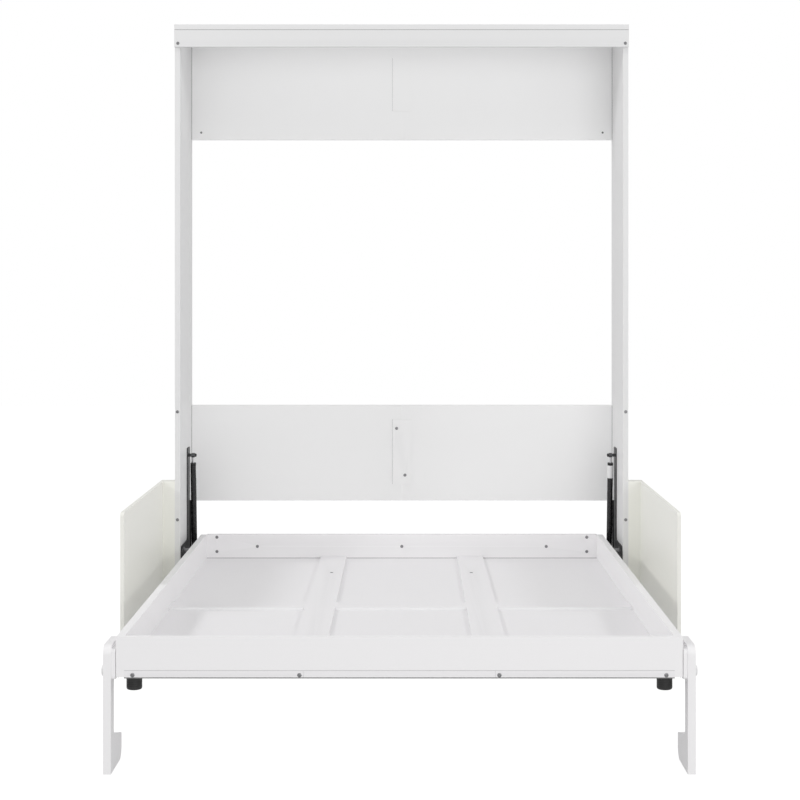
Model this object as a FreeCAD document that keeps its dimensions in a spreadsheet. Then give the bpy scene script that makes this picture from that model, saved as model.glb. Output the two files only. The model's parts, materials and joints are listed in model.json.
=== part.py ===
import FreeCAD, Part
import math
import os
import Sketcher

# Wall bed that folds up into an open cabinet, shown with the bed folded down.
# X runs across the bed, +Y runs to the wall, +Z is up, and lengths are in millimetres.
# The origin is on the floor, at the middle of the whole object's length and width.

doc = FreeCAD.newDocument("murphy_wall_bed")
sheet = doc.addObject("Spreadsheet::Sheet", "dims")

DIMENSIONS = [
    # Cabinet of boards: two uprights, a top, a fascia and two rear panels.
    ("board", 20),
    ("cab_width", 1714),
    ("cab_height", 2340),
    ("cab_depth", 382),
    ("front_y", 709),
    ("fascia_height", 64),
    ("groove_width", 3),
    ("groove_depth", 1.5),
    ("groove_setback", 95),
    ("upper_panel_low", 1936),
    ("lower_panel_low", 500),
    ("lower_panel_high", 880),
    ("panel_joint", 0.4),
    ("edge_screw_high", 879),
    ("edge_screw_low", 471),
    ("fascia_screw_inset", 4),
    ("fascia_screw_drop", 71),
    ("wall_hole_radius", 4),
    ("wall_hole_x", 799),
    ("wall_hole_z", 1965),
    ("cleat_width", 74),
    ("cleat_thick", 5),
    ("lower_cleat_low", 566),
    ("lower_cleat_length", 258),
    ("upper_cleat_low", 2050),
    ("upper_cleat_length", 212),
    ("cleat_screw_left", 21),
    ("cleat_screw_right", 12),
    ("cleat_screw_end", 36),
    ("base_rail_low", 30),
    ("base_rail_height", 110),
    ("base_rail_setback", 40),
    # Side wings beside the bed, each on a spacer and a foot board.
    ("wing_gap", 45),
    ("wing_thick", 12),
    ("wing_reach", 930),
    ("wing_low", 110),
    ("wing_high", 616),
    ("wing_foot_reach", 560),
    ("wing_spacer_depth", 60),
    ("glide_radius", 12),
    ("glide_height", 4),
    ("glide_inset", 30),
    # Bed tray: rails, head and foot boards round a base of three panels.
    ("foot_y", -1079),
    ("bed_length", 2074),
    ("bed_width", 1576),
    ("rail_thick", 22),
    ("rail_low", 268),
    ("rail_high", 379),
    ("base_low", 264),
    ("base_thick", 22),
    ("head_corner_radius", 30),
    ("batten_width", 100),
    ("batten_thick", 9),
    ("batten_x", 267),
    ("batten_screw_x", 258),
    ("batten_screw_front", 420),
    ("batten_screw_rear", 1640),
    ("cross_batten_y", 975),
    ("base_bolt_outer", 742),
    ("base_bolt_inner", 278),
    ("base_bolt_drop", 2),
    ("head_bolt_outer", 726),
    ("head_bolt_inner", 567),
    ("head_bolt_top", 11),
    ("head_bolt_middle", 47),
    ("head_bolt_low", 67),
    ("buffer_radius", 23),
    ("buffer_height", 36),
    ("buffer_x", 741),
    ("buffer_setback", 30),
    # Main pivot, its plate on the upright and its bracket on the bed.
    ("pivot_y", 790),
    ("pivot_z", 345),
    ("pin_radius", 8),
    ("pin_fit", 0.05),
    ("bush_radius", 12),
    ("bush_length", 14),
    ("flange_radius", 14),
    ("flange_thick", 3),
    ("plate_thick", 4),
    ("plate_front", 729),
    ("plate_post", 914),
    ("plate_back", 984),
    ("plate_low", 290),
    ("plate_step", 368),
    ("plate_top", 723),
    ("plate_lip", 6),
    ("lip_top", 513),
    ("plate_screw_margin", 20),
    ("plate_screw_step", 90),
    ("bracket_thick", 4),
    ("bracket_margin", 26),
    ("bracket_front_drop", 14),
    ("bracket_rear_drop", 38),
    ("bracket_rear_margin", 18),
    ("bracket_shoulder", 60),
    # Gas struts between the upright and the bed.
    ("strut_x", 813.5),
    ("upper_stud_y", 924),
    ("upper_stud_z", 695),
    ("lower_stud_y", 971),
    ("lower_stud_z", 310),
    ("stud_radius", 5),
    ("eyelet_radius", 8.5),
    ("eyelet_thick", 14),
    ("nut_radius", 7),
    ("nut_thick", 6),
    ("side_play", 0.5),
    ("rod_radius", 4),
    ("rod_length", 240),
    ("piston_radius", 9.2),
    ("piston_length", 12),
    ("cylinder_radius", 11),
    ("cylinder_bore", 9.5),
    ("cylinder_start", 30),
    ("gland_length", 12),
    ("socket_length", 24),
    ("ball_radius", 6.5),
    ("stem_radius", 6),
    ("stem_overlap", 8),
    ("ball_neck", 4),
    # Swing-down legs outside the foot end of the rails.
    ("leg_thick", 22),
    ("leg_gap", 12),
    ("leg_pivot_setback", 50),
    ("leg_pivot_z", 276),
    ("leg_front", 12),
    ("leg_top", 357),
    ("leg_arm_back", 160),
    ("leg_arm_low", 262),
    ("leg_post_back", 40),
    ("leg_boot_back", 175),
    ("leg_boot_high", 100),
    ("leg_boot_tip", 72),
    ("leg_bolt_radius", 6),
    ("leg_bolt_margin", 2),
    ("leg_cap_radius", 17),
    ("leg_cap_thick", 13.7),
    ("leg_washer_radius", 20),
    ("packing_thick", 11),
    ("packing_front", 6),
    ("packing_back", 150),
    ("packing_low", 262),
    ("packing_high", 347),
    ("leg_play", 0.3),
    ("leg_inner_fillet", 16),
    ("leg_toe_fillet", 34),
    ("leg_edge_fillet", 9),
    ("leg_top_fillet", 26),
    # Screws and bolts, all of one size.
    ("screw_radius", 3),
    ("screw_head_radius", 6),
    ("screw_head_thick", 1.5),
    ("screw_length", 11),
    ("short_screw_length", 4),
    ("screw_fit", 0.1),
]


def fill_sheet():
    """Write every driving dimension into the sheet, one row each, with its alias."""
    for row, (alias, value) in enumerate(DIMENSIONS, start=1):
        sheet.set("A%d" % row, alias)
        sheet.set("B%d" % row, str(value))
        sheet.setAlias("B%d" % row, alias)
    doc.recompute()


fill_sheet()
SIDES = (("left", -1), ("right", 1))
nodes = []


def dim(alias):
    """The sheet's value for an alias, for places worked out in code."""
    return float(sheet.get(alias))


def bind(obj, prop, text):
    """Bind a property to an expression in which every alias is looked up in the sheet."""
    words = sorted((alias for alias, _ in DIMENSIONS), key=len, reverse=True)
    pieces = []
    word = ""
    for letter in str(text) + " ":
        if letter.isalnum() or letter in "_.":
            word += letter
            continue
        pieces.append("dims." + word if word in words else word)
        pieces.append(letter)
        word = ""
    obj.setExpression(prop, "".join(pieces).strip())


def place(obj, at):
    """Bind the three coordinates of an object's position."""
    for axis, text in zip("xyz", at):
        bind(obj, "Placement.Base." + axis, text)


def box(name, size, at):
    """A board: size and lowest corner are expressions along X, Y and Z."""
    obj = doc.addObject("Part::Box", name)
    for prop, text in zip(("Length", "Width", "Height"), size):
        bind(obj, prop, text)
    place(obj, at)
    return obj


def rod(name, radius, length, at, direction):
    """A round bar from a start point along a direction."""
    obj = doc.addObject("Part::Cylinder", name)
    up = FreeCAD.Vector(0, 0, 1)
    obj.Placement = FreeCAD.Placement(FreeCAD.Vector(), FreeCAD.Rotation(up, FreeCAD.Vector(*direction)))
    bind(obj, "Radius", radius)
    bind(obj, "Height", length)
    place(obj, at)
    return obj


def joined(name, shapes):
    """One object of several shapes: those that touch are fused, the others stay apart."""
    obj = doc.addObject("Part::MultiFuse", name)
    obj.Shapes = shapes
    return obj


def cut(name, base, tools):
    """A shape with holes or recesses taken out."""
    tool = tools[0] if len(tools) == 1 else joined(name + "_cutters", tools)
    obj = doc.addObject("Part::Cut", name)
    obj.Base = base
    obj.Tool = tool
    return obj


def node(name, obj):
    """Name a finished sub-part, which is written to its own file."""
    obj.Label = name
    nodes.append(obj)
    return obj


def across(sign, near, width):
    """Lowest X of a piece that starts at a distance from the middle, on one side."""
    return "-(%s)-(%s)" % (near, width) if sign < 0 else near


def profile_body(name, points, thick, x_low, rounds):
    """A board cut to an outline in the YZ plane, padded along +X, with rounded corners.

    points are (Y, Z) expressions in order; rounds is a list of (corner number, radius alias)."""
    body = doc.addObject("PartDesign::Body", name + "_body")
    plane = [f for f in body.Origin.OriginFeatures if f.Role == "YZ_Plane"][0]
    sketch = body.newObject("Sketcher::SketchObject", name + "_outline")
    sketch.AttachmentSupport = [(plane, "")]
    sketch.MapMode = "FlatFace"
    count = len(points)
    start = [FreeCAD.Vector(value_of(py), value_of(pz), 0) for py, pz in points]
    for i in range(count):
        sketch.addGeometry(Part.LineSegment(start[i], start[(i + 1) % count]))
    for i in range(count):
        following = (i + 1) % count
        sketch.addConstraint(Sketcher.Constraint("Coincident", i, 2, following, 1))
    for i, (py, pz) in enumerate(points):
        for kind, text, value in (("DistanceX", py, start[i].x), ("DistanceY", pz, start[i].y)):
            number = sketch.addConstraint(Sketcher.Constraint(kind, -1, 1, i, 1, value))
            bind(sketch, "Constraints[%d]" % number, text)
    pad = body.newObject("PartDesign::Pad", name + "_pad")
    pad.Profile = sketch
    bind(pad, "Length", thick)
    body.Tip = pad
    doc.recompute()
    tip = pad
    for number, (corners, radius) in enumerate(rounds):
        edges = [edge_along_x(tip.Shape, start[c]) for c in corners]
        fillet = body.newObject("PartDesign::Fillet", "%s_round_%d" % (name, number))
        fillet.Base = (tip, edges)
        bind(fillet, "Radius", radius)
        body.Tip = fillet
        doc.recompute()
        tip = fillet
    bind(body, "Placement.Base.x", x_low)
    return body


def value_of(text):
    """The number that an expression of aliases, plus and minus signs comes to."""
    total = 0.0
    for term in str(text).replace("-", "+-").split("+"):
        term = term.strip()
        if not term:
            continue
        sign = -1.0 if term.startswith("-") else 1.0
        word = term.lstrip("-").strip()
        total += sign * (float(word) if word.replace(".", "").isdigit() else dim(word))
    return total


def edge_along_x(shape, corner):
    """Name of the edge that runs along X through an outline's corner."""
    for number, edge in enumerate(shape.Edges, start=1):
        ends = [v.Point for v in edge.Vertexes]
        if all(abs(p.y - corner.x) < 1e-6 and abs(p.z - corner.y) < 1e-6 for p in ends):
            return "Edge%d" % number
    raise ValueError("no edge at %s" % corner)


# ---------------------------------------------------------------- screws

def screw(name, at, direction, length="screw_length"):
    """A flat-headed screw: the head stands on the surface, the shank goes into the board."""
    dx, dy, dz = direction
    inward = (-dx, -dy, -dz)
    head = rod(name + "_head", "screw_head_radius", "screw_head_thick", at, direction)
    shank = rod(name + "_shank", "screw_radius", length, at, inward)
    return joined(name, [head, shank])


def screw_hole(name, at, direction, length="screw_length"):
    """The hole that a screw's shank sits in."""
    dx, dy, dz = direction
    return rod(name, "screw_radius + screw_fit", length + " + screw_fit", at, (-dx, -dy, -dz))


FRONT = (0, -1, 0)
UP = (0, 0, 1)
UPRIGHT_MIDDLE = "cab_width/2 - board/2"


def mirrored_spots(x_text, y_text, z_texts):
    """Screw places on both sides at the same height."""
    return [(("-(%s)" if sign < 0 else "%s") % x_text, y_text, z) for z in z_texts for _, sign in SIDES]


UPRIGHT_SPOTS = mirrored_spots("(%s)" % UPRIGHT_MIDDLE, "front_y", ("edge_screw_high", "edge_screw_low"))
FASCIA_SPOTS = mirrored_spots("(%s - fascia_screw_inset)" % UPRIGHT_MIDDLE, "front_y - board",
                              ("cab_height - fascia_screw_drop",))
CLEAT_FRONT = "front_y + cab_depth - board - cleat_thick"
# One screw near each end of the lower cleat, on either side of the panels' joint.
CLEAT_SPOTS = [("-cleat_screw_left", CLEAT_FRONT, "lower_cleat_low + lower_cleat_length - cleat_screw_end"),
               ("cleat_screw_right", CLEAT_FRONT, "lower_cleat_low + cleat_screw_end")]


def screw_group(name, spots, direction, length="screw_length"):
    """Screws of one kind as one node of separate solids."""
    items = [screw("%s_%d" % (name, i), spot, direction, length) for i, spot in enumerate(spots)]
    return node(name, joined(name + "_group", items))


def drilled(name, base, spots, direction, length="screw_length"):
    """A board with the holes for its screws."""
    holes = [screw_hole("%s_hole_%d" % (name, i), spot, direction, length) for i, spot in enumerate(spots)]
    return cut(name + "_drilled", base, holes) if holes else base


# ---------------------------------------------------------------- cabinet

def upright(side, sign):
    """Side board of the cabinet, with a fine groove near its rear edge and screws in its front edge."""
    board = box(side + "_upright_board", ("board", "cab_depth", "cab_height - board"),
                (across(sign, "cab_width/2 - board", "board"), "front_y", "0"))
    inner = "cab_width/2 - board"
    groove = box(side + "_upright_groove", ("groove_depth", "groove_width", "cab_height"),
                 (across(sign, inner, "groove_depth"), "front_y + cab_depth - groove_setback", "0"))
    spots = [s for s in UPRIGHT_SPOTS if (s[0].startswith("-")) == (sign < 0)]
    holes = [screw_hole("%s_upright_hole_%d" % (side, i), s, FRONT) for i, s in enumerate(spots)]
    return node(side + "_upright", cut(side + "_upright_cut", board, [groove] + holes))


def rear_panel(level, side, sign, low, high):
    """Half of a rear panel: the two halves meet near the middle of the cabinet."""
    width = "(cab_width/2 - board - panel_joint/2)"
    board = box("%s_%s_panel_board" % (level, side), (width, "board", "%s - %s" % (high, low)),
                (across(sign, "panel_joint/2", width), "front_y + cab_depth - board", low))
    if level == "lower":
        return node("lower_rear_panel_" + side, board)
    x_hole = "-wall_hole_x" if sign < 0 else "wall_hole_x"
    hole = rod("upper_%s_wall_hole" % side, "wall_hole_radius", "3*board",
               (x_hole, "front_y + cab_depth - 2*board", "wall_hole_z"), (0, 1, 0))
    return node("upper_rear_panel_" + side, cut("upper_%s_panel" % side, board, [hole]))


def cabinet():
    """Uprights, top, fascia, rear panels, their cleats and the rail at the floor."""
    for side, sign in SIDES:
        upright(side, sign)
    node("top_board", box("top", ("cab_width", "cab_depth + board", "board"),
                          ("-cab_width/2", "front_y - board", "cab_height - board")))
    fascia = box("fascia", ("cab_width", "board", "fascia_height"),
                 ("-cab_width/2", "front_y - board", "cab_height - board - fascia_height"))
    node("top_fascia", drilled("fascia", fascia, FASCIA_SPOTS, FRONT))
    for side, sign in SIDES:
        rear_panel("upper", side, sign, "upper_panel_low", "(cab_height - board)")
        rear_panel("lower", side, sign, "lower_panel_low", "lower_panel_high")
    for level, spots in (("lower", CLEAT_SPOTS), ("upper", [])):
        name = level + "_joining_cleat"
        cleat = box(name + "_board", ("cleat_width", "cleat_thick", level + "_cleat_length"),
                    ("-cleat_width/2", CLEAT_FRONT, level + "_cleat_low"))
        node(name, drilled(name, cleat, spots, FRONT, "short_screw_length"))
    screw_group("cleat_screws", CLEAT_SPOTS, FRONT, "short_screw_length")
    screw_group("cabinet_screws", UPRIGHT_SPOTS + FASCIA_SPOTS, FRONT)
    node("bottom_rear_rail", box("base_rail", ("cab_width - 2*board", "board", "base_rail_height"),
                                 ("board - cab_width/2", "front_y + cab_depth - base_rail_setback",
                                  "base_rail_low")))


def wings():
    """Thin side panels beside the bed, each on a spacer, with a foot board under its rear part."""
    inner = "cab_width/2 + wing_gap"
    for side, sign in SIDES:
        corners = [("front_y + wing_spacer_depth", "wing_low"), ("front_y + wing_spacer_depth", "wing_high"),
                   ("front_y - wing_reach", "wing_high"), ("front_y - wing_reach", "wing_low")]
        node(side + "_wing", profile_body(side + "_wing", corners, "wing_thick",
                                          across(sign, inner, "wing_thick"), [((2, 3), "wing_thick")]))
        node(side + "_wing_foot", box(side + "_foot_board",
                                      ("wing_thick", "wing_foot_reach + wing_spacer_depth",
                                       "wing_low - glide_height"),
                                      (across(sign, inner, "wing_thick"), "front_y - wing_foot_reach",
                                       "glide_height")))
    spacers = [box(side + "_spacer_board", ("wing_gap", "wing_spacer_depth", "wing_high"),
                   (across(sign, "cab_width/2", "wing_gap"), "front_y", "0")) for side, sign in SIDES]
    node("wing_spacers", joined("wing_spacer_pair", spacers))
    glides = []
    for side, sign in SIDES:
        for number, y_text in enumerate(("front_y - wing_foot_reach + glide_inset", "front_y + glide_inset")):
            x_text = ("-(%s)" if sign < 0 else "%s") % "(cab_width/2 + wing_gap + wing_thick/2)"
            size = ("wing_thick", "2*glide_radius", "glide_height")
            glides.append(box("%s_glide_%d" % (side, number), size,
                              (x_text + " - wing_thick/2", y_text + " - glide_radius", "0")))
    node("wing_glides", joined("wing_glide_set", glides))


# ---------------------------------------------------------------- bed tray

RAIL_INNER = "(bed_width/2 - rail_thick)"
BASE_TOP = "(base_low + base_thick)"
HEAD_FRONT = "foot_y + bed_length - rail_thick"
BASE_BOLT_LEVEL = "base_low + base_thick/2 - base_bolt_drop"
OUTER_BASE_BOLTS = mirrored_spots("base_bolt_outer", "foot_y", (BASE_BOLT_LEVEL,))
INNER_BASE_BOLTS = mirrored_spots("base_bolt_inner", "foot_y", (BASE_BOLT_LEVEL,))
BASE_BOLT_SPOTS = OUTER_BASE_BOLTS + INNER_BASE_BOLTS
HEAD_BOLT_SPOTS = mirrored_spots("head_bolt_outer", HEAD_FRONT,
                                 ("rail_high - head_bolt_top", "rail_high - head_bolt_low"))
HEAD_BOLT_SPOTS += mirrored_spots("head_bolt_inner", HEAD_FRONT, ("rail_high - head_bolt_middle",))
HEAD_BOLT_SPOTS += [("0", HEAD_FRONT, "rail_high - head_bolt_middle")]
BATTEN_SPOTS = []
for batten_screw_place in ("batten_screw_front", "batten_screw_rear"):
    BATTEN_SPOTS += mirrored_spots("batten_screw_x", "foot_y + " + batten_screw_place,
                                   (BASE_TOP + " + batten_thick",))


def head_board():
    """Board across the head of the bed, with both top corners rounded."""
    board = box("head_board_plain", ("bed_width", "rail_thick", "rail_high - base_low"),
                ("-bed_width/2", HEAD_FRONT, "base_low"))
    doc.recompute()
    top = dim("rail_high")
    edges = []
    for number, edge in enumerate(board.Shape.Edges, start=1):
        ends = [v.Point for v in edge.Vertexes]
        if all(abs(p.z - top) < 1e-6 for p in ends) and abs(ends[0].x - ends[1].x) < 1e-6:
            edges.append((number, dim("head_corner_radius"), dim("head_corner_radius")))
    fillet = doc.addObject("Part::Fillet", "head_board_rounded")
    fillet.Base = board
    fillet.Edges = edges
    return node("head_board", drilled("head_board", fillet, HEAD_BOLT_SPOTS, FRONT))


def base_panels():
    """Three panels side by side, which meet under the long battens."""
    seam = "(batten_x + panel_joint/2)"
    side_width = "(%s - %s)" % (RAIL_INNER, seam)
    length = "bed_length - rail_thick"
    spans = [("base_panel_left", "-" + RAIL_INNER, side_width),
             ("base_panel_middle", "-(batten_x - panel_joint/2)", "2*batten_x - panel_joint"),
             ("base_panel_right", seam, side_width)]
    for name, x_low, width in spans:
        panel = box(name + "_board", (width, length, "base_thick"), (x_low, "foot_y", "base_low"))
        spots = [s for s in BASE_BOLT_SPOTS if name.endswith("left") == (s[0].startswith("-"))]
        node(name, panel if name.endswith("middle") else drilled(name, panel, spots, FRONT))


def battens():
    """Two long battens over the panels' seams, and the cross batten in three pieces."""
    for side, sign in SIDES:
        x_low = across(sign, "batten_x - batten_width/2", "batten_width")
        board = box(side + "_long_batten_board",
                    ("batten_width", "bed_length - 2*rail_thick", "batten_thick"),
                    (x_low, "foot_y + rail_thick", BASE_TOP))
        spots = [s for s in BATTEN_SPOTS if (s[0].startswith("-")) == (sign < 0)]
        node(side + "_long_batten", drilled(side + "_long_batten", board, spots, UP, "short_screw_length"))
    y_low = "foot_y + cross_batten_y - batten_width/2"
    outer_width = "(%s - batten_x - batten_width/2)" % RAIL_INNER
    middle = box("cross_middle", ("2*batten_x - batten_width", "batten_width", "batten_thick"),
                 ("batten_width/2 - batten_x", y_low, BASE_TOP))
    outer = [box("cross_" + side, (outer_width, "batten_width", "batten_thick"),
                 (across(sign, "batten_x + batten_width/2", outer_width), y_low, BASE_TOP))
             for side, sign in SIDES]
    node("cross_battens", joined("cross_batten_set", [middle] + outer))
    screw_group("batten_screws", BATTEN_SPOTS, UP, "short_screw_length")


def side_rail(side, sign):
    """Long rail of the bed, drilled for the leg's bolt."""
    board = box(side + "_rail_board", ("rail_thick", "bed_length - rail_thick", "rail_high - rail_low"),
                (across(sign, RAIL_INNER, "rail_thick"), "foot_y", "rail_low"))
    hole = rod(side + "_rail_leg_hole", "leg_bolt_radius + screw_fit", "rail_thick - leg_bolt_margin",
               (across(sign, "bed_width/2", "0"), "foot_y + leg_pivot_setback", "leg_pivot_z"),
               (-sign, 0, 0))
    return node(side + "_side_rail", cut(side + "_rail_cut", board, [hole]))


def bed_tray():
    """The bed's rails, boards, base panels, battens, bolts and black buffers."""
    for side, sign in SIDES:
        side_rail(side, sign)
    head_board()
    node("foot_board", box("foot_board_plain", ("2*%s" % RAIL_INNER, "rail_thick", "rail_high - " + BASE_TOP),
                           ("-" + RAIL_INNER, "foot_y", BASE_TOP)))
    base_panels()
    battens()
    screw_group("base_bolts", BASE_BOLT_SPOTS, FRONT)
    screw_group("head_board_bolts", HEAD_BOLT_SPOTS, FRONT)
    buffers = [rod(side + "_buffer", "buffer_radius", "buffer_height",
                   (across(sign, "buffer_x", "0"), "foot_y + buffer_setback", "base_low"), (0, 0, -1))
               for side, sign in SIDES]
    node("buffer_feet", joined("buffer_pair", buffers))


# ---------------------------------------------------------------- main pivot

PLATE_INNER = "(cab_width/2 - board - plate_thick)"
PLATE_SCREW_SPOTS = (("plate_post + plate_screw_margin", "plate_top - plate_screw_step"),
                     ("plate_post + plate_screw_margin", "plate_top - 2*plate_screw_step"),
                     ("plate_post + plate_screw_margin", "plate_step + plate_screw_step/2"),
                     ("plate_front + plate_screw_margin", "plate_low + plate_screw_margin"),
                     ("plate_front + plate_screw_margin", "plate_step - plate_screw_margin"),
                     ("plate_back - 2*plate_screw_margin", "plate_low + 2*plate_screw_margin"))


def pivot_plate(side, sign):
    """L-shaped steel plate on the upright, with a lip up the rear edge of its lower part."""
    corners = [("plate_front", "plate_low"), ("plate_back", "plate_low"), ("plate_back", "plate_top"),
               ("plate_post", "plate_top"), ("plate_post", "plate_step"), ("plate_front", "plate_step")]
    plate = profile_body(side + "_pivot_plate", corners, "plate_thick",
                         across(sign, PLATE_INNER, "plate_thick"),
                         [((0, 5, 2, 3), "screw_head_radius"), ((4,), "flange_radius")])
    holes = [rod("%s_plate_hole_%d" % (side, i), "screw_radius + screw_fit", "3*plate_thick",
                 (across(sign, PLATE_INNER + " - plate_thick", "0"),) + spot, (sign, 0, 0))
             for i, spot in enumerate(PLATE_SCREW_SPOTS)]
    return node(side + "_pivot_plate", cut(side + "_pivot_plate_drilled", plate, holes))


def plate_screws():
    """Screws that hold the pivot plates to the uprights: short shanks, heads on the plate."""
    screws = []
    for side, sign in SIDES:
        for i, spot in enumerate(PLATE_SCREW_SPOTS):
            at = (across(sign, PLATE_INNER, "0"),) + spot
            head = rod("%s_plate_screw_head_%d" % (side, i), "screw_head_radius", "screw_head_thick", at,
                       (-sign, 0, 0))
            shank = rod("%s_plate_screw_shank_%d" % (side, i), "screw_radius", "plate_thick", at,
                        (sign, 0, 0))
            screws.append(joined("%s_plate_screw_%d" % (side, i), [head, shank]))
    return node("plate_screws", joined("plate_screw_set", screws))


def pivots():
    """Pins fixed to the plates, bushes in the bed's brackets, and the brackets themselves."""
    pins = []
    bushes = []
    lips = []
    for side, sign in SIDES:
        pivot_plate(side, sign)
        inward = (-sign, 0, 0)
        at = (across(sign, PLATE_INNER, "0"), "pivot_y", "pivot_z")
        pin = rod(side + "_pin", "pin_radius", "%s - bed_width/2 - side_play" % PLATE_INNER, at, inward)
        flange = rod(side + "_pin_flange", "flange_radius", "flange_thick", at, inward)
        pins.append(joined(side + "_flanged_pin", [pin, flange]))
        bed_face = (across(sign, "bed_width/2", "0"), "pivot_y", "pivot_z")
        outward = (sign, 0, 0)
        bush = rod(side + "_bush", "bush_radius", "bush_length", bed_face, outward)
        bore = rod(side + "_bush_bore", "pin_radius + pin_fit", "bush_length", bed_face, outward)
        bushes.append(cut(side + "_bush_ring", bush, [bore]))
        lips.append(box(side + "_lip", ("plate_lip", "plate_thick", "lip_top - plate_low"),
                        (across(sign, PLATE_INNER + " - plate_lip", "plate_lip"),
                         "plate_back - plate_thick", "plate_low")))
        corners = [("pivot_y - bracket_margin", "pivot_z - bracket_margin - bracket_front_drop"),
                   ("lower_stud_y + bracket_rear_margin", "pivot_z - bracket_margin - bracket_rear_drop"),
                   ("lower_stud_y + bracket_rear_margin", "lower_stud_z + bracket_rear_margin"),
                   ("pivot_y + bracket_shoulder", "pivot_z + bracket_margin"),
                   ("pivot_y - bracket_margin", "pivot_z + bracket_margin")]
        bracket = profile_body(side + "_bracket", corners, "bracket_thick",
                               across(sign, "bed_width/2", "bracket_thick"),
                               [((0, 1, 2, 3, 4), "bush_radius")])
        hole = rod(side + "_bracket_hole", "bush_radius + screw_fit", "3*bracket_thick",
                   (across(sign, "bed_width/2 - bracket_thick", "0"), "pivot_y", "pivot_z"), outward)
        node(side + "_bed_bracket", cut(side + "_bracket_drilled", bracket, [hole]))
    plate_screws()
    node("pivot_pins", joined("pivot_pin_pair", pins))
    node("pivot_bushes", joined("pivot_bush_pair", bushes))
    node("plate_lips", joined("plate_lip_pair", lips))


# ---------------------------------------------------------------- gas struts

def strut_placement(sign):
    """Turns a strut built downwards from its upper stud into its place at rest."""
    dy = dim("lower_stud_y") - dim("upper_stud_y")
    dz = dim("upper_stud_z") - dim("lower_stud_z")
    lean = math.degrees(math.atan2(dy, dz))
    centre = FreeCAD.Vector(sign * dim("strut_x"), dim("upper_stud_y"), dim("upper_stud_z"))
    return FreeCAD.Placement(centre, FreeCAD.Rotation(FreeCAD.Vector(1, 0, 0), lean))


def strut_length():
    """Distance between the strut's two studs with the bed down."""
    dy = dim("lower_stud_y") - dim("upper_stud_y")
    dz = dim("upper_stud_z") - dim("lower_stud_z")
    return math.hypot(dy, dz)


def struts():
    """Each strut is a rod with an eyelet and piston, sliding in a cylinder with a gland and a socket."""
    down = (0, 0, -1)
    sheet_length = "%.4f" % strut_length()
    for side, sign in SIDES:
        where = strut_placement(sign)
        eye = rod(side + "_eye", "eyelet_radius", "eyelet_thick", ("-eyelet_thick/2", "0", "0"), (1, 0, 0))
        bore = rod(side + "_eye_bore", "stud_radius + pin_fit", "2*eyelet_thick", ("-eyelet_thick", "0", "0"),
                   (1, 0, 0))
        eyelet = cut(side + "_eyelet_ring", eye, [bore])
        eyelet.Placement = where
        node(side + "_rod_eyelet", eyelet)
        start = "eyelet_radius"
        shaft = rod(side + "_shaft", "rod_radius", "rod_length - " + start, ("0", "0", "-" + start), down)
        piston = rod(side + "_piston", "piston_radius", "piston_length",
                     ("0", "0", "piston_length - rod_length"), down)
        whole_rod = joined(side + "_rod_and_piston", [shaft, piston])
        whole_rod.Placement = where
        node(side + "_strut_rod", whole_rod)
        tube_length = "(%s - socket_length - cylinder_start)" % sheet_length
        tube = rod(side + "_tube", "cylinder_radius", tube_length, ("0", "0", "-cylinder_start"), down)
        hollow = rod(side + "_tube_bore", "cylinder_bore", tube_length + " - gland_length",
                     ("0", "0", "-cylinder_start"), down)
        cylinder = cut(side + "_tube_wall", tube, [hollow])
        cylinder.Placement = where
        node(side + "_strut_cylinder", cylinder)
        plug = rod(side + "_gland_plug", "cylinder_bore", "gland_length", ("0", "0", "-cylinder_start"), down)
        passage = rod(side + "_gland_bore", "rod_radius + pin_fit", "2*gland_length",
                      ("0", "0", "-cylinder_start + gland_length/2"), down)
        gland = cut(side + "_gland_ring", plug, [passage])
        gland.Placement = where
        node(side + "_strut_gland", gland)
        stem = rod(side + "_socket_stem", "stem_radius", "socket_length - stem_overlap",
                   ("0", "0", "socket_length - %s" % sheet_length), down)
        head = rod(side + "_socket_head", "cylinder_radius", "eyelet_thick",
                   ("-eyelet_thick/2", "0", "-%s" % sheet_length), (1, 0, 0))
        socket = joined(side + "_socket_whole", [stem, head])
        socket.Placement = where
        node(side + "_strut_socket", socket)


def strut_studs():
    """Upper studs with nuts on the plates, and ball studs on the bed's brackets."""
    upper = []
    lower = []
    for side, sign in SIDES:
        inward = (-sign, 0, 0)
        reach = "(%s - strut_x + eyelet_thick/2 + side_play + nut_thick)" % PLATE_INNER
        stud_at = (across(sign, PLATE_INNER, "0"), "upper_stud_y", "upper_stud_z")
        stud = rod(side + "_stud", "stud_radius", reach, stud_at, inward)
        nut = doc.addObject("Part::Prism", side + "_nut")
        nut.Polygon = 6
        up = FreeCAD.Vector(0, 0, 1)
        nut.Placement = FreeCAD.Placement(FreeCAD.Vector(), FreeCAD.Rotation(up, FreeCAD.Vector(*inward)))
        bind(nut, "Circumradius", "nut_radius")
        bind(nut, "Height", "nut_thick")
        nut_x = across(sign, "strut_x - eyelet_thick/2 - side_play", "0")
        place(nut, (nut_x, "upper_stud_y", "upper_stud_z"))
        upper.append(joined(side + "_stud_and_nut", [stud, nut]))
        outward = (sign, 0, 0)
        ball_at = (across(sign, "bed_width/2 + bracket_thick", "0"), "lower_stud_y", "lower_stud_z")
        ball_reach = "(strut_x - eyelet_thick/2 - 2*side_play - bed_width/2 - bracket_thick)"
        shank = rod(side + "_ball_shank", "stud_radius", ball_reach, ball_at, outward)
        collar = rod(side + "_ball_collar", "ball_radius", "%s - ball_neck" % ball_reach, ball_at, outward)
        lower.append(joined(side + "_ball_stud", [shank, collar]))
    node("upper_strut_studs", joined("upper_stud_pair", upper))
    node("lower_strut_studs", joined("lower_stud_pair", lower))


# ---------------------------------------------------------------- legs

LEG_INNER = "(bed_width/2 + leg_gap)"


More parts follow.
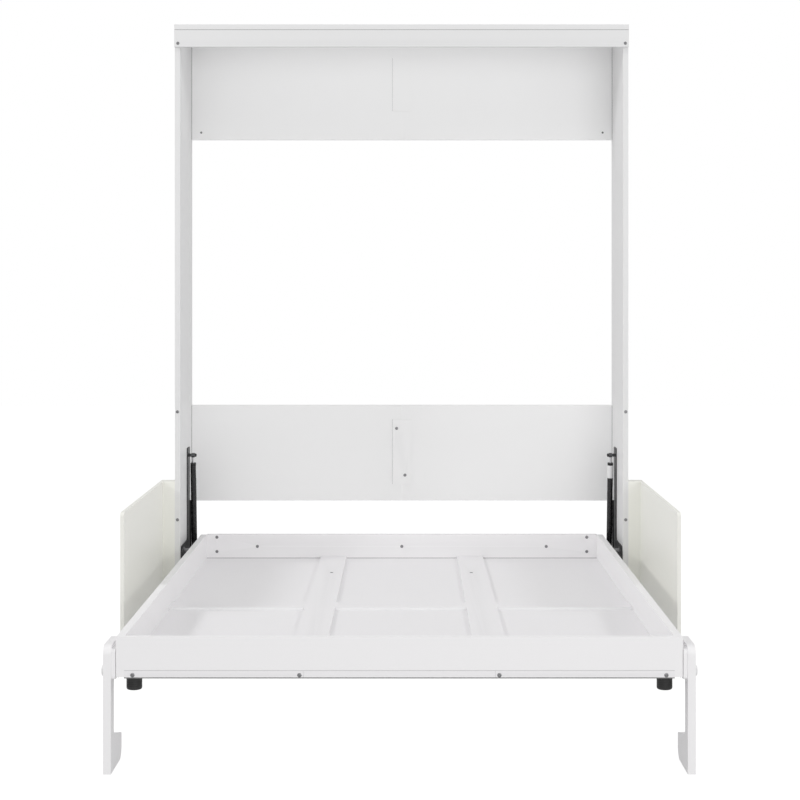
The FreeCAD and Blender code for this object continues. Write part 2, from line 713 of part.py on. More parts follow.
def leg_hole(name, sign, margin):
    """The hole for the leg's bolt, through the leg and its packing."""
    return rod(name, "leg_bolt_radius + " + margin, "3*leg_thick",
               (across(sign, "bed_width/2 - leg_play", "0"), "foot_y + leg_pivot_setback", "leg_pivot_z"),
               (sign, 0, 0))


def leg_panel(side, sign):
    """Boot-shaped leg board, and a packing board on its inner face beside the rail's end."""
    corners = [("foot_y - leg_front", "0"), ("foot_y + leg_boot_back", "0"),
               ("foot_y + leg_boot_back", "leg_boot_tip"), ("foot_y + leg_post_back", "leg_boot_high"),
               ("foot_y + leg_post_back", "leg_arm_low"), ("foot_y + leg_arm_back", "leg_arm_low"),
               ("foot_y + leg_arm_back", "leg_top"), ("foot_y - leg_front", "leg_top")]
    panel = profile_body(side + "_leg", corners, "leg_thick", across(sign, LEG_INNER, "leg_thick"),
                         [((3, 4), "leg_inner_fillet"), ((1, 5, 6), "leg_toe_fillet"),
                          ((2,), "leg_edge_fillet"), ((7,), "leg_top_fillet")])
    node(side + "_leg", cut(side + "_leg_drilled", panel, [leg_hole(side + "_leg_hole", sign, "pin_fit")]))
    outline = [("foot_y - packing_front", "packing_low"), ("foot_y + packing_back", "packing_low"),
               ("foot_y + packing_back", "packing_high"), ("foot_y - packing_front", "packing_high")]
    packing = profile_body(side + "_leg_packing", outline, "packing_thick",
                           across(sign, "%s - packing_thick" % LEG_INNER, "packing_thick"),
                           [((0, 1, 2, 3), "leg_edge_fillet")])
    node(side + "_leg_packing",
         cut(side + "_packing_drilled", packing, [leg_hole(side + "_packing_hole", sign, "pin_fit")]))


def leg_bolts():
    """Bolt through each leg into the rail, under a round cap, with a washer between packing and rail."""
    washers = []
    for side, sign in SIDES:
        outward = (sign, 0, 0)
        pivot = ("foot_y + leg_pivot_setback", "leg_pivot_z")
        shank = rod(side + "_leg_shank", "leg_bolt_radius",
                    "rail_thick + leg_gap + leg_thick - leg_bolt_margin",
                    (across(sign, RAIL_INNER + " + 2*leg_bolt_margin", "0"),) + pivot, outward)
        cap = rod(side + "_leg_cap", "leg_cap_radius", "leg_cap_thick",
                  (across(sign, LEG_INNER + " + leg_thick + leg_play", "0"),) + pivot, outward)
        node(side + "_leg_bolt", joined(side + "_leg_bolt_whole", [shank, cap]))
        washer = rod(side + "_leg_washer", "leg_washer_radius", "leg_gap - packing_thick - leg_play",
                     (across(sign, "bed_width/2", "0"),) + pivot, outward)
        bore = leg_hole(side + "_leg_washer_bore", sign, "screw_fit")
        washers.append(cut(side + "_leg_washer_cut", washer, [bore]))
    node("leg_washers", joined("leg_washer_pair", washers))


# ---------------------------------------------------------------- build, check and write

cabinet()
wings()
bed_tray()
pivots()
struts()
strut_studs()
for side_name, side_sign in SIDES:
    leg_panel(side_name, side_sign)
leg_bolts()
doc.recompute()

for item in doc.Objects:
    if "Invalid" in item.State or "Error" in item.State:
        raise RuntimeError("%s failed: %s" % (item.Name, item.State))
for item in nodes:
    if item.Shape.isNull() or not item.Shape.isValid():
        raise RuntimeError("bad shape in " + item.Label)

os.makedirs("parts", exist_ok=True)
for item in nodes:
    item.Shape.exportStep("parts/%s.step" % item.Label)
print("wrote %d nodes" % len(nodes))
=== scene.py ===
import json
import math

import bmesh
import bpy
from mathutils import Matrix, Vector


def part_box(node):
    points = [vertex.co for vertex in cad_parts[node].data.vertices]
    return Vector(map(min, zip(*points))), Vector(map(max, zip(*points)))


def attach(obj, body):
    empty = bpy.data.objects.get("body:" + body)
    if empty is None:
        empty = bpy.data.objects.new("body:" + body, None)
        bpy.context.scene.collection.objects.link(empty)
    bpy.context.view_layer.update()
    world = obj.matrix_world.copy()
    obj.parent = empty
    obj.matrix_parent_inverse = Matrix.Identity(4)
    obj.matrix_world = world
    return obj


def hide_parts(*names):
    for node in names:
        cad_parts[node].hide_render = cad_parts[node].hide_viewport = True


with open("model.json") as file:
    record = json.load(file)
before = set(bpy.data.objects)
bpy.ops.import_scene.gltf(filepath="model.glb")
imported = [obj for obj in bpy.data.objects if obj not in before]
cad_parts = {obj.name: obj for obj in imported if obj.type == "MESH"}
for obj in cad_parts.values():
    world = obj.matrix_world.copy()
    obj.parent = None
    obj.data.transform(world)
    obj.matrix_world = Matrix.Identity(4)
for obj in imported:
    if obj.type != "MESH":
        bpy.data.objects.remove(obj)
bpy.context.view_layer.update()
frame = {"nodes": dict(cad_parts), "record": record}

MM = 0.001
SIDES = (("left", -1), ("right", 1))


# ---------------------------------------------------------------- material helpers

def new_material(name):
    """An empty node material with a Principled shader; returns (material, nodes, links, shader)."""
    material = bpy.data.materials.new(name)
    material.use_nodes = True
    nodes = material.node_tree.nodes
    links = material.node_tree.links
    return material, nodes, links, nodes["Principled BSDF"]


def noise(nodes, links, scale, detail=4.0, roughness=0.5, stretch=(1, 1, 1)):
    """Noise in object space, stretched along an axis where the stretch is small."""
    where = nodes.new("ShaderNodeTexCoord")
    mapping = nodes.new("ShaderNodeMapping")
    mapping.inputs["Scale"].default_value = stretch
    links.new(where.outputs["Object"], mapping.inputs["Vector"])
    texture = nodes.new("ShaderNodeTexNoise")
    texture.inputs["Scale"].default_value = scale
    texture.inputs["Detail"].default_value = detail
    texture.inputs["Roughness"].default_value = roughness
    links.new(mapping.outputs["Vector"], texture.inputs["Vector"])
    return texture.outputs["Fac"]


def spread(nodes, links, value, low, high):
    """A texture's value spread over a range of numbers."""
    span = nodes.new("ShaderNodeMapRange")
    span.inputs["From Min"].default_value = 0.3
    span.inputs["From Max"].default_value = 0.7
    span.inputs["To Min"].default_value = low
    span.inputs["To Max"].default_value = high
    links.new(value, span.inputs["Value"])
    return span.outputs["Result"]


def mixed(nodes, links, factor, first, second):
    """A colour mixed between two by a factor socket."""
    mix = nodes.new("ShaderNodeMix")
    mix.data_type = "RGBA"
    links.new(factor, mix.inputs["Factor"])
    for socket, colour in ((mix.inputs[6], first), (mix.inputs[7], second)):
        if isinstance(colour, tuple):
            socket.default_value = (*colour, 1.0)
        else:
            links.new(colour, socket)
    return mix.outputs[2]


def bump(nodes, links, shader, height, strength, distance):
    """Surface relief from a height socket."""
    relief = nodes.new("ShaderNodeBump")
    relief.inputs["Strength"].default_value = strength
    relief.inputs["Distance"].default_value = distance
    links.new(height, relief.inputs["Height"])
    links.new(relief.outputs["Normal"], shader.inputs["Normal"])


def convex_edge_mask(nodes, links, sharp=0.02):
    """Nearly 1 along sharp convex edges and 0 on flat faces; it masks a painted highlight along those edges.
    """
    geometry = nodes.new("ShaderNodeNewGeometry")
    span = nodes.new("ShaderNodeMapRange")
    span.inputs["From Min"].default_value = 0.5 + sharp
    span.inputs["From Max"].default_value = 0.5 + 4 * sharp
    links.new(geometry.outputs["Pointiness"], span.inputs["Value"])
    return span.outputs["Result"]


def board_material(name, light, shade, grain_axis=1):
    """White laminate on board: faint cloudy tone, a fine orange-peel bump and a painted highlight that makes
    sharp convex edges slightly lighter.
    """
    material, nodes, links, shader = new_material(name)
    cloud = spread(nodes, links, noise(nodes, links, 2.3, 3.0), 0.0, 1.0)
    base = mixed(nodes, links, cloud, light, shade)
    # Painted highlight: sharp convex edges are made 4 % lighter than the board, as where light catches them.
    edge_lit_tone = tuple(min(1.0, 1.04 * c) for c in light)
    links.new(mixed(nodes, links, convex_edge_mask(nodes, links), base, edge_lit_tone), shader.inputs["Base Color"])
    stretch = [1.0, 1.0, 1.0]
    stretch[grain_axis] = 0.12
    streak = noise(nodes, links, 160.0, 5.0, 0.6, tuple(stretch))
    links.new(spread(nodes, links, streak, 0.40, 0.50), shader.inputs["Roughness"])
    peel = noise(nodes, links, 900.0, 2.0)
    bump(nodes, links, shader, peel, 0.10, 0.0004)
    shader.inputs["Specular IOR Level"].default_value = 0.42
    shader.inputs["Coat Weight"].default_value = 0.05
    return material


def metal_material(name, light, dark, roughness, metallic=1.0, scale=240.0, stretch=(1, 1, 1)):
    """Metal with brushed or mottled tone."""
    material, nodes, links, shader = new_material(name)
    mottle = noise(nodes, links, scale, 5.0, 0.6, stretch)
    links.new(mixed(nodes, links, spread(nodes, links, mottle, 0.0, 1.0), light, dark),
              shader.inputs["Base Color"])
    links.new(spread(nodes, links, noise(nodes, links, scale / 3.0), roughness - 0.05, roughness + 0.08),
              shader.inputs["Roughness"])
    bump(nodes, links, shader, mottle, 0.12, 0.0002)
    shader.inputs["Metallic"].default_value = metallic
    return material


def plastic_material(name, light, dark, roughness, grain=700.0):
    """Moulded plastic with a fine spark-eroded grain."""
    material, nodes, links, shader = new_material(name)
    links.new(mixed(nodes, links, spread(nodes, links, noise(nodes, links, 35.0), 0.0, 1.0), light, dark),
              shader.inputs["Base Color"])
    links.new(spread(nodes, links, noise(nodes, links, grain / 4), roughness - 0.05, roughness + 0.06),
              shader.inputs["Roughness"])
    bump(nodes, links, shader, noise(nodes, links, grain, 3.0), 0.18, 0.0003)
    return material


MATERIALS = {
    # One white laminate in copies of different tone. The rear panels' copy and the bed's copy are set lighter
    # as painted light, standing in for the light that the recessed panels and the head board in the tray
    # lack. The cabinet's copy is set darker against its strongly lit front edges.
    "white_board": board_material("white_laminate", (0.755, 0.755, 0.757), (0.735, 0.735, 0.738), 2),
    "bed_board": board_material("white_bed_board", (0.865, 0.857, 0.865), (0.845, 0.837, 0.845), 1),
    "panel_board": board_material("white_panel_painted_lighter", (0.87, 0.87, 0.87), (0.85, 0.85, 0.852), 2),
    "wing_board": board_material("off_white_panel", (0.85, 0.85, 0.80), (0.81, 0.81, 0.755), 1),
    "base_board": board_material("white_base_board", (0.835, 0.825, 0.838), (0.815, 0.805, 0.818), 1),
    "zinc_steel": metal_material("zinc_plate", (0.30, 0.30, 0.31), (0.20, 0.20, 0.205), 0.36),
    "black_steel": metal_material("black_powder_coat", (0.018, 0.018, 0.020), (0.03, 0.03, 0.032), 0.42,
                                  0.0, 900.0),
    "bush_plastic": plastic_material("nylon_bush", (0.05, 0.05, 0.052), (0.035, 0.035, 0.037), 0.5),
    "chrome_rod": metal_material("polished_rod", (0.75, 0.75, 0.77), (0.62, 0.62, 0.64), 0.12, 1.0, 500.0,
                                 (1, 1, 0.05)),
    "strut_black": metal_material("strut_enamel", (0.008, 0.008, 0.009), (0.016, 0.016, 0.017), 0.25, 0.0,
                                  300.0),
    "grey_eyelet": metal_material("plain_steel", (0.14, 0.14, 0.145), (0.08, 0.08, 0.085), 0.38),
    # Painted highlight: a bright white strip laid on the cross batten's front edge where light catches it.
    "painted_batten_highlight": plastic_material("painted_batten_highlight", (0.93, 0.93, 0.93), (0.91, 0.91, 0.91), 0.4),
    # Painted shadow: near-black strips laid in the joints between boards, where shade falls.
    "seam_shadow": plastic_material("painted_shadow_line", (0.16, 0.16, 0.16), (0.12, 0.12, 0.12), 0.8),
    "black_plastic": plastic_material("black_foot_plastic", (0.012, 0.012, 0.012), (0.020, 0.020, 0.020),
                                      0.38),
    "white_plastic": plastic_material("white_cap_plastic", (0.80, 0.80, 0.80), (0.76, 0.76, 0.765), 0.35),
}

SLOT_OF = {entry["node"]: entry["material_slot"] for entry in frame["record"]["subparts"]}
BOARD_ROUND = 1.0 * MM
STEEL_ROUND = 0.5 * MM
BEVEL_ANGLE = math.radians(40)


def bevel(obj, width, segments=3):
    """Rounds an object's sharp edges, which leaves its mesh data as it is."""
    modifier = obj.modifiers.new("edge_round", "BEVEL")
    modifier.width = width
    modifier.segments = segments
    modifier.limit_method = "ANGLE"
    modifier.angle_limit = BEVEL_ANGLE
    modifier.harden_normals = True


for name, obj in frame["nodes"].items():
    slot = SLOT_OF[name]
    obj.data.materials.clear()
    obj.data.materials.append(MATERIALS[slot])
    if slot.endswith("_board"):
        bevel(obj, BOARD_ROUND)
    if slot == "black_steel":
        bevel(obj, STEEL_ROUND)

# ---------------------------------------------------------------- mesh helpers

SMOOTH_BELOW = math.radians(35)


def turned(mesh, profile, start, axis, segments=48):
    """Turns a profile of (distance along the axis, radius) in mm about an axis; returns its vertices."""
    spin = Vector(axis).normalized().to_track_quat("Z", "Y")
    origin = Vector(start)
    rings = []
    for along, radius in profile:
        count = 1 if radius == 0 else segments
        ring = []
        for i in range(count):
            angle = 2 * math.pi * i / segments
            point = Vector((radius * math.cos(angle), radius * math.sin(angle), along)) * MM
            ring.append(mesh.verts.new(origin + spin @ point))
        rings.append(ring)
    for low, high in zip(rings, rings[1:]):
        for i in range(segments):
            corners = (low[i % len(low)], low[(i + 1) % len(low)],
                       high[(i + 1) % len(high)], high[i % len(high)])
            corners = tuple(dict.fromkeys(corners))
            if len(corners) > 2:
                mesh.faces.new(corners)
    return [vert for ring in rings for vert in ring]


def strip(mesh, low, high):
    """A thin straight strip between two corners, given in metres."""
    xs, ys, zs = zip(low, high)
    verts = [mesh.verts.new((x, y, z)) for x in xs for y in ys for z in zs]
    for face in ((0, 1, 3, 2), (4, 6, 7, 5), (0, 4, 5, 1), (2, 3, 7, 6), (0, 2, 6, 4), (1, 5, 7, 3)):
        mesh.faces.new([verts[i] for i in face])


def piece(name, mesh, body, slot, *stands_for):
    """Turns a bmesh into an object that rides on a body, in a slot's finish, in place of some nodes."""
    bmesh.ops.recalc_face_normals(mesh, faces=mesh.faces)
    data = bpy.data.meshes.new(name)
    mesh.to_mesh(data)
    mesh.free()
    data.shade_smooth()
    data.set_sharp_from_angle(angle=SMOOTH_BELOW)
    data.materials.append(MATERIALS[slot])
    obj = bpy.data.objects.new(name, data)
    bpy.context.scene.collection.objects.link(obj)
    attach(obj, body)
    if stands_for:
        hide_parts(*stands_for)
    return obj


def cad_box(node):
    """A node's box as (lowest corner, highest corner)."""
    low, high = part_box(node)
    return tuple(low), tuple(high)


def islands(node):
    """Boxes of a node's separate solids, as (lowest corner, highest corner) pairs in metres."""
    data = frame["nodes"][node].data
    spots = {}
    owner = []
    for vert in data.vertices:
        key = tuple(round(c, 5) for c in vert.co)
        owner.append(spots.setdefault(key, len(spots)))
    parent = list(range(len(spots)))

    def root(i):
        while parent[i] != i:
            parent[i] = parent[parent[i]]
            i = parent[i]
        return i

    for polygon in data.polygons:
        first = root(owner[polygon.vertices[0]])
        for corner in polygon.vertices[1:]:
            parent[root(owner[corner])] = first
    boxes = {}
    for point, index in spots.items():
        low, high = boxes.setdefault(root(index), (list(point), list(point)))
        for axis in range(3):
            low[axis] = min(low[axis], point[axis])
            high[axis] = max(high[axis], point[axis])
    return sorted((tuple(low), tuple(high)) for low, high in boxes.values())


def ends(box, axis):
    """Middle of a box's end face that an axis leaves by, and the box's length along that axis in mm."""
    low, high = box
    middle = [(a + b) / 2 for a, b in zip(low, high)]
    index = max(range(3), key=lambda i: abs(axis[i]))
    middle[index] = high[index] if axis[index] > 0 else low[index]
    return Vector(middle), (high[index] - low[index]) / MM


# ---------------------------------------------------------------- screws

HEAD_RADIUS = 6.0
HEAD_THICK = 1.5
SHANK_RADIUS = 3.0
RECESS_ARM = 3.1
RECESS_HALF = 0.75
RECESS_DEPTH = 1.1
FIRST_TURN = 0.5
TURN_STEP = 1.9


def cross_head(mesh, top, length, axis, turn):
    """A domed screw head with a cross recess on a plain shank; top is the middle of the head's face."""
    fine = [(HEAD_THICK - 0.012 * r * r, r) for r in (0.25 * k for k in range(1, 15))]
    profile = [(HEAD_THICK, 0.0)] + fine + [(1.28, 4.4), (1.0, 5.2), (0.6, 5.8), (0.3, HEAD_RADIUS),
                                            (0.0, HEAD_RADIUS), (0.0, SHANK_RADIUS),
                                            (HEAD_THICK - length, SHANK_RADIUS), (HEAD_THICK - length, 0.0)]
    along = Vector(axis)
    start = top - along * HEAD_THICK * MM
    spin = along.to_track_quat("Z", "Y")
    across = spin @ Vector((math.cos(turn), math.sin(turn), 0))
    beside = along.cross(across)
    for vert in turned(mesh, profile, start, axis, 56):
        place = vert.co - start
        if place.dot(along) < (HEAD_THICK - 0.3) * MM:
            continue
        u, v = abs(place.dot(across)) / MM, abs(place.dot(beside)) / MM
        reach, width = max(u, v), min(u, v)
        if reach < RECESS_ARM and width < RECESS_HALF:
            vert.co -= along * RECESS_DEPTH * MM * (1.0 - 0.5 * reach / RECESS_ARM)


def screws(node, body, axis=None):
    """Cross-head screws in place of a node of plain ones; axis None points each away from its upright."""
    mesh = bmesh.new()
    for number, box in enumerate(islands(node)):
        side = -1.0 if box[0][0] > 0 else 1.0
        way = axis or (side, 0.0, 0.0)
        top, length = ends(box, way)
        cross_head(mesh, top, length, way, FIRST_TURN + TURN_STEP * number)
    piece(node + "_heads", mesh, body, "zinc_steel", node)


FRONT = (0.0, -1.0, 0.0)
UP = (0.0, 0.0, 1.0)
screws("cabinet_screws", "cabinet", FRONT)
screws("cleat_screws", "cabinet", FRONT)
screws("plate_screws", "cabinet")
screws("base_bolts", "bed", FRONT)
screws("head_board_bolts", "bed", FRONT)
screws("batten_screws", "bed", UP)

# ---------------------------------------------------------------- buffer feet under the foot of the bed

GROOVES = (11.0, 17.0, 23.0)


def buffer_feet():
    """Moulded feet: a flange under the board, a ribbed neck and a pad with a rounded lower edge."""
    mesh = bmesh.new()
    for box in islands("buffer_feet"):
        top, height = ends(box, UP)
        radius = (box[1][0] - box[0][0]) / 2 / MM
        profile = [(0, 0), (0, radius), (3, radius), (3.8, radius - 0.8), (5.0, radius - 1.0)]
        for groove in GROOVES:
            profile += [(groove, radius - 1.0), (groove + 0.5, radius - 1.7), (groove + 1.3, radius - 1.7),
                        (groove + 1.8, radius - 1.0)]
        profile += [(height - 6.0, radius - 1.0), (height - 3.2, radius - 1.6), (height - 1.2, radius - 3.0),
                    (height - 0.2, radius - 5.5), (height, radius - 8.0), (height, 7.0), (height - 3.0, 6.5),
                    (height - 3.0, 0)]
        turned(mesh, profile, top, (0, 0, -1), 64)
    piece("moulded_buffer_feet", mesh, "bed", "black_plastic", "buffer_feet")


buffer_feet()

# ---------------------------------------------------------------- leg bolts

CAP_RADIUS = 17.0
CAP_THICK = 13.7
LEG_SHANK = 6.0


def leg_bolt(side, sign):
    """A domed cap with a rolled rim over the leg's bolt."""
    mesh = bmesh.new()
    outward = (sign, 0.0, 0.0)
    top, length = ends(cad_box(side + "_leg_bolt"), outward)
    profile = [(0, 0), (0.1, 5.0), (0.5, 9.0), (1.2, 12.0), (2.4, 14.2), (3.6, 15.2), (4.4, 15.4),
               (4.8, CAP_RADIUS - 0.4), (5.4, CAP_RADIUS), (CAP_THICK - 1.8, CAP_RADIUS),
               (CAP_THICK - 1.4, CAP_RADIUS - 0.5), (CAP_THICK, CAP_RADIUS - 0.5),
               (CAP_THICK, LEG_SHANK), (length - 1.0, LEG_SHANK), (length, LEG_SHANK - 1.0), (length, 0)]
    turned(mesh, profile, top, (-sign, 0.0, 0.0), 64)
    piece(side + "_leg_cap", mesh, "bed", "white_plastic", side + "_leg_bolt")


for side, sign in SIDES:
    leg_bolt(side, sign)

# ---------------------------------------------------------------- gas struts

TUBE_RADIUS = 11.0
BORE_RADIUS = 9.5
LABEL_START = 10.0
LABEL_LENGTH = 50.0
LABEL_TURN = math.radians(215)
LABEL_STEPS = 30
TUBE_START = 30.0
GLAND_LENGTH = 12.0
SOCKET_LENGTH = 24.0
CRIMP_DEPTH = 0.8


def strut_axis(side):
    """The strut's two ends at rest: the middles of its eyelet and of its socket's head."""
    low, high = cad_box(side + "_rod_eyelet")
    upper = Vector([(a + b) / 2 for a, b in zip(low, high)])
    low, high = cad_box(side + "_strut_socket")
    lower = Vector(((low[0] + high[0]) / 2, high[1] - TUBE_RADIUS * MM, low[2] + TUBE_RADIUS * MM))
    return upper, lower


def gas_strut(side, sign):
    """Cylinder with a rolled-in open end and crimp grooves, and its label."""
    upper, lower = strut_axis(side)
    along = (lower - upper).normalized()
    whole = (lower - upper).length / MM
    first, last = TUBE_START, whole - SOCKET_LENGTH
    profile = [(first + GLAND_LENGTH, BORE_RADIUS), (first + 0.6, BORE_RADIUS), (first, BORE_RADIUS + 0.4),
               (first + 0.3, TUBE_RADIUS - 0.7), (first + 1.2, TUBE_RADIUS - 0.2), (first + 2.0, TUBE_RADIUS)]
    for groove in (first + 5.0, first + 8.0):
        profile += [(groove, TUBE_RADIUS), (groove + 0.5, TUBE_RADIUS - CRIMP_DEPTH),
                    (groove + 1.0, TUBE_RADIUS - CRIMP_DEPTH), (groove + 1.5, TUBE_RADIUS)]
    profile += [(last - 5.0, TUBE_RADIUS), (last - 2.2, TUBE_RADIUS - 0.6), (last - 0.6, TUBE_RADIUS - 2.0),
                (last, TUBE_RADIUS - 4.2), (last, BORE_RADIUS - 4.0), (last - 3.0, BORE_RADIUS - 3.0),
                (last - 6.0, BORE_RADIUS), (first + GLAND_LENGTH, BORE_RADIUS)]
    mesh = bmesh.new()
    turned(mesh, profile, upper, along, 56)
    piece(side + "_strut_tube", mesh, side + "_strut_cylinder_body", "strut_black", side + "_strut_cylinder")
    strut_label(side, sign, upper, along, first + LABEL_START)


def strut_label(side, sign, upper, along, start):
    """A plain label part of the way round, on the front of the right tube and the rear of the left."""
    label = bmesh.new()
    facing = Vector((0, -sign, 0))
    middle = (facing - along * facing.dot(along)).normalized()
    beside = along.cross(middle)
    rows = []
    for distance in (start, start + LABEL_LENGTH):
        for radius in (TUBE_RADIUS + 0.05, TUBE_RADIUS + 0.2):
            row = []
            for i in range(LABEL_STEPS + 1):
                angle = LABEL_TURN * (i / LABEL_STEPS - 0.5)
                ray = middle * math.cos(angle) + beside * math.sin(angle)
                row.append(label.verts.new(upper + (along * distance + ray * radius) * MM))
            rows.append(row)
    for a, b in ((0, 1), (1, 3), (3, 2), (2, 0)):
        for i in range(LABEL_STEPS):
            label.faces.new((rows[a][i], rows[a][i + 1], rows[b][i + 1], rows[b][i]))
    for i in (0, LABEL_STEPS):
        label.faces.new((rows[0][i], rows[1][i], rows[3][i], rows[2][i]))
    piece(side + "_strut_label", label, side + "_strut_cylinder_body", "white_plastic")


for side, sign in SIDES:
    gas_strut(side, sign)

# ---------------------------------------------------------------- upper studs with hexagon nuts

STUD_RADIUS = 5.0
NUT_RADIUS = 7.0
COLLAR_RADIUS = 6.6
COLLAR_LENGTH = 10.0
NUT_THICK = 6.0
NUT_CHAMFER = 0.8
NUT_CORNER = 0.86
THREAD_START = 0.8
THREAD_PITCH = 1.25
THREAD_TURNS = 4


def upper_studs():
    """Threaded studs, each with a chamfered hexagon nut on its inner end."""
    mesh = bmesh.new()
    for box in islands("upper_strut_studs"):
        sign = 1.0 if box[0][0] > 0 else -1.0
        inward = (-sign, 0.0, 0.0)
        tip, length = ends(box, inward)
        profile = [(0, 0), (0, STUD_RADIUS - 1.0), (THREAD_START, STUD_RADIUS - 0.2)]
        for k in range(THREAD_TURNS):
            profile += [(THREAD_START + THREAD_PITCH * (k + 0.5), STUD_RADIUS - 0.9),
                        (THREAD_START + THREAD_PITCH * (k + 1), STUD_RADIUS - 0.1)]
        profile += [(NUT_THICK + 0.2, STUD_RADIUS), (length - COLLAR_LENGTH, STUD_RADIUS),
                    (length - COLLAR_LENGTH + 0.6, COLLAR_RADIUS), (length, COLLAR_RADIUS), (length, 0)]
        turned(mesh, profile, tip, (sign, 0.0, 0.0), 40)
        nut = [(0.6, STUD_RADIUS), (0.6, NUT_RADIUS * NUT_CORNER), (0.6 + NUT_CHAMFER, NUT_RADIUS),
               (NUT_THICK - NUT_CHAMFER, NUT_RADIUS), (NUT_THICK, NUT_RADIUS * NUT_CORNER),
               (NUT_THICK, STUD_RADIUS)]
        turned(mesh, nut, tip, (sign, 0.0, 0.0), 6)
    piece("threaded_studs_and_nuts", mesh, "cabinet", "black_steel", "upper_strut_studs")


upper_studs()

# ---------------------------------------------------------------- wall fixing sleeves

SLEEVE_RADIUS = 4.0
SLEEVE_BORE = 1.8


def wall_sleeves():
    """Dark sleeves in the two fixing holes of the upper rear panel."""
    mesh = bmesh.new()
    holes = [mount for mount in frame["record"]["mounts"] if mount["name"] == "wall_screw_holes"][0]
    spacing = holes["dims"]["spacing_x_mm"] * MM
    low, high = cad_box("upper_rear_panel_left")
    depth = (high[1] - low[1]) / MM
    profile = [(0.3, SLEEVE_BORE), (0.0, SLEEVE_BORE + 0.5), (0.0, SLEEVE_RADIUS - 0.3), (0.4, SLEEVE_RADIUS),
               (depth, SLEEVE_RADIUS), (depth, SLEEVE_BORE), (0.3, SLEEVE_BORE)]
    for sign in (-1, 1):
        start = (sign * spacing / 2, low[1], holes["pos_m"][2])
        turned(mesh, profile, start, (0, 1, 0), 32)
    piece("wall_fixing_sleeves", mesh, "cabinet", "bush_plastic")


wall_sleeves()

# ---------------------------------------------------------------- painted shadow lines where boards meet

INSET = 1.0 * MM
LINE = 1.3 * MM
FINE_LINE = 0.5 * MM
BROAD_LINE = 2.6 * MM
PROUD = 0.15 * MM


def cabinet_lines():
    """Painted shadow lines: dark strips standing in for the shade under the top board, at the rear panels'
    ends and beside the joining cleats.
    """
    mesh = bmesh.new()
    low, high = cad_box("top_fascia")
    strip(mesh, (low[0] + INSET, low[1] - PROUD, high[2] - LINE / 2),
          (high[0] - INSET, low[1] + PROUD, high[2] + LINE / 2))
    for side, sign in SIDES:
        for level in ("upper", "lower"):
            low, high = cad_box(level + "_rear_panel_" + side)
            outer = high[0] if sign > 0 else low[0]
            strip(mesh, (min(outer, outer - sign * LINE), low[1] - PROUD, low[2] + INSET),
                  (max(outer, outer - sign * LINE), low[1] + PROUD, high[2] - INSET))
    for level in ("upper", "lower"):
        panel_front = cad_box(level + "_rear_panel_left")[0][1]
        low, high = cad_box(level + "_joining_cleat")
        strip(mesh, (low[0] - FINE_LINE, panel_front - PROUD, low[2]), (low[0], panel_front + PROUD, high[2]))
    piece("cabinet_painted_shadow_lines", mesh, "cabinet", "seam_shadow")


def bed_lines():
    """Painted shadow lines: dark strips standing in for the shade under the foot board, along the base's
    lower edge and under the head board.
    """
    mesh = bmesh.new()
    low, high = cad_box("foot_board")
    base_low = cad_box("base_panel_middle")[0]
    strip(mesh, (low[0] + INSET, low[1] - PROUD, low[2] - FINE_LINE / 2),
          (high[0] - INSET, low[1] + PROUD, low[2] + FINE_LINE / 2))
    strip(mesh, (low[0] + INSET, low[1] - PROUD, base_low[2] + PROUD),
          (high[0] - INSET, low[1] + PROUD, base_low[2] + PROUD + BROAD_LINE))
    head_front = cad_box("head_board")[0][1]
    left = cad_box("left_long_batten")
    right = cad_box("right_long_batten")
    for first, last in ((low[0], left[0][0]), (left[1][0], right[0][0]), (right[1][0], high[0])):
        strip(mesh, (first + INSET, head_front - PROUD, low[2]),
              (last - INSET, head_front + PROUD, low[2] + LINE))
    piece("bed_painted_shadow_lines", mesh, "bed", "seam_shadow")


def cross_batten_highlight_strips():
    """Painted highlight: a white strip, brighter than the board, on the front edge of each stretch of the
    cross batten, where light catches it.
    """
    mesh = bmesh.new()
    for low, high in islands("cross_battens"):
        strip(mesh, (low[0] + INSET, low[1] - PROUD, low[2] + INSET),
              (high[0] - INSET, low[1] + PROUD, high[2] - INSET))
    piece("cross_batten_painted_highlight", mesh, "bed", "painted_batten_highlight")


cabinet_lines()
bed_lines()
cross_batten_highlight_strips()

# ---------------------------------------------------------------- stage, light and camera

FLOOR_HALF = 14.0
FLOOR_DROP = 0.5 * MM
FLOOR_SEEN = 0.92
FLOOR_GLOW = 0.47


def seen_or_lit(nodes, links, seen, lit):
    """One strength where the camera looks straight at a thing and another where it lights the rest."""
    path = nodes.new("ShaderNodeLightPath")
    span = nodes.new("ShaderNodeMapRange")
    span.inputs["To Min"].default_value = lit
    span.inputs["To Max"].default_value = seen
    links.new(path.outputs["Is Camera Ray"], span.inputs["Value"])
    return span.outputs["Result"]


def stage_floor():
    """Plain pale floor."""
    mesh = bpy.data.meshes.new("floor")
    corners = [(x * FLOOR_HALF, y * FLOOR_HALF, -FLOOR_DROP) for x, y in ((-1, -1), (1, -1), (1, 1), (-1, 1))]
    mesh.from_pydata(corners, [], [(0, 1, 2, 3)])
    floor = bpy.data.objects.new("floor", mesh)
    bpy.context.scene.collection.objects.link(floor)
    material, nodes, links, shader = new_material("pale_floor")
    tone = spread(nodes, links, noise(nodes, links, 1.2, 3.0), 0.0, 1.0)
    links.new(mixed(nodes, links, tone, (0.20, 0.20, 0.20), (0.18, 0.18, 0.18)), shader.inputs["Base Color"])
    shader.inputs["Roughness"].default_value = 0.8
    shader.inputs["Specular IOR Level"].default_value = 0.0
    shader.inputs["Emission Color"].default_value = (1.0, 1.0, 1.0, 1.0)
    links.new(seen_or_lit(nodes, links, FLOOR_SEEN, FLOOR_GLOW), shader.inputs["Emission Strength"])
    mesh.materials.append(material)


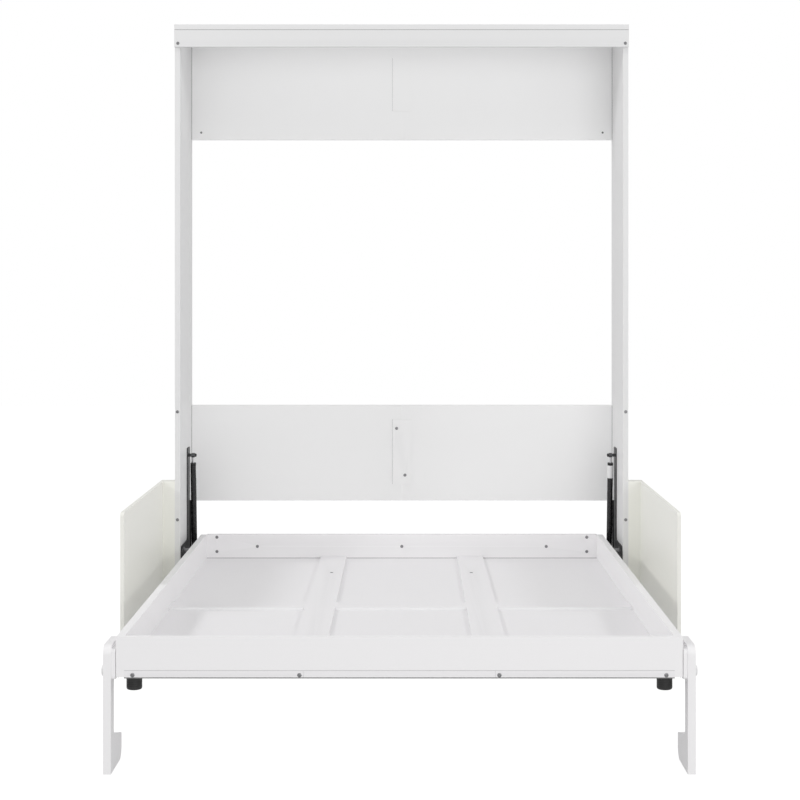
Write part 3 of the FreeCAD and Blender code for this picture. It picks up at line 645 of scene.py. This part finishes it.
def area_light(name, place, target, size, power):
    """A soft rectangular light aimed at a point."""
    data = bpy.data.lights.new(name, "AREA")
    data.shape = "RECTANGLE"
    data.size, data.size_y = size
    data.energy = power
    lamp = bpy.data.objects.new(name, data)
    lamp.visible_camera = False
    lamp.location = place
    lamp.rotation_euler = (Vector(target) - Vector(place)).to_track_quat("-Z", "Y").to_euler()
    bpy.context.scene.collection.objects.link(lamp)


def world_light(seen, lit):
    """White surroundings: the camera sees them at one strength and they light the object at another."""
    world = bpy.data.worlds.new("studio")
    world.use_nodes = True
    nodes = world.node_tree.nodes
    links = world.node_tree.links
    background = nodes["Background"]
    background.inputs["Color"].default_value = (1.0, 1.0, 1.0, 1.0)
    links.new(seen_or_lit(nodes, links, seen, lit), background.inputs["Strength"])
    bpy.context.scene.world = world


CAMERA_PLACE = (0.023, -6.048, 1.355)
SENSOR = 36.0
FOCAL = 80.47
SHIFT_X = -0.0096
SHIFT_Y = -0.1427


def camera():
    """Level camera in front of the foot of the bed."""
    data = bpy.data.cameras.new("camera")
    data.sensor_width = SENSOR
    data.lens = FOCAL
    data.shift_x = SHIFT_X
    data.shift_y = SHIFT_Y
    obj = bpy.data.objects.new("camera", data)
    obj.location = CAMERA_PLACE
    obj.rotation_euler = (math.radians(90), 0, 0)
    bpy.context.scene.collection.objects.link(obj)
    bpy.context.scene.camera = obj


WORLD_SEEN = 1.0
WORLD_LIT = 0.65
LIGHTS = (  # name, place, target, (width, height), watts
    ("key", (-2.2, -6.6, 2.3), (0, 0.7, 1.1), (3.0, 3.0), 20),
    ("fill", (2.2, -6.6, 1.8), (0, 0.7, 1.1), (3.0, 3.0), 65),
    ("overhead", (0, -0.8, 5.2), (0, -0.8, 0), (3.0, 3.0), 8),
    ("low_front", (0, -6.6, 0.7), (0, 0, 0.5), (4.0, 1.0), 20),
    ("recess", (0, 0.74, 2.30), (0, 1.07, 2.08), (1.6, 0.05), 0.43),
    ("left_side", (-5.2, -0.8, 3.6), (0.8, 0.2, 0.3), (0.8, 0.8), 92),
    ("right_side", (5.2, -0.8, 3.6), (-0.8, 0.2, 0.3), (0.8, 0.8), 53),
)

stage_floor()
world_light(WORLD_SEEN, WORLD_LIT)
for light in LIGHTS:
    area_light(*light)
camera()
bpy.context.scene.view_settings.view_transform = "Standard"
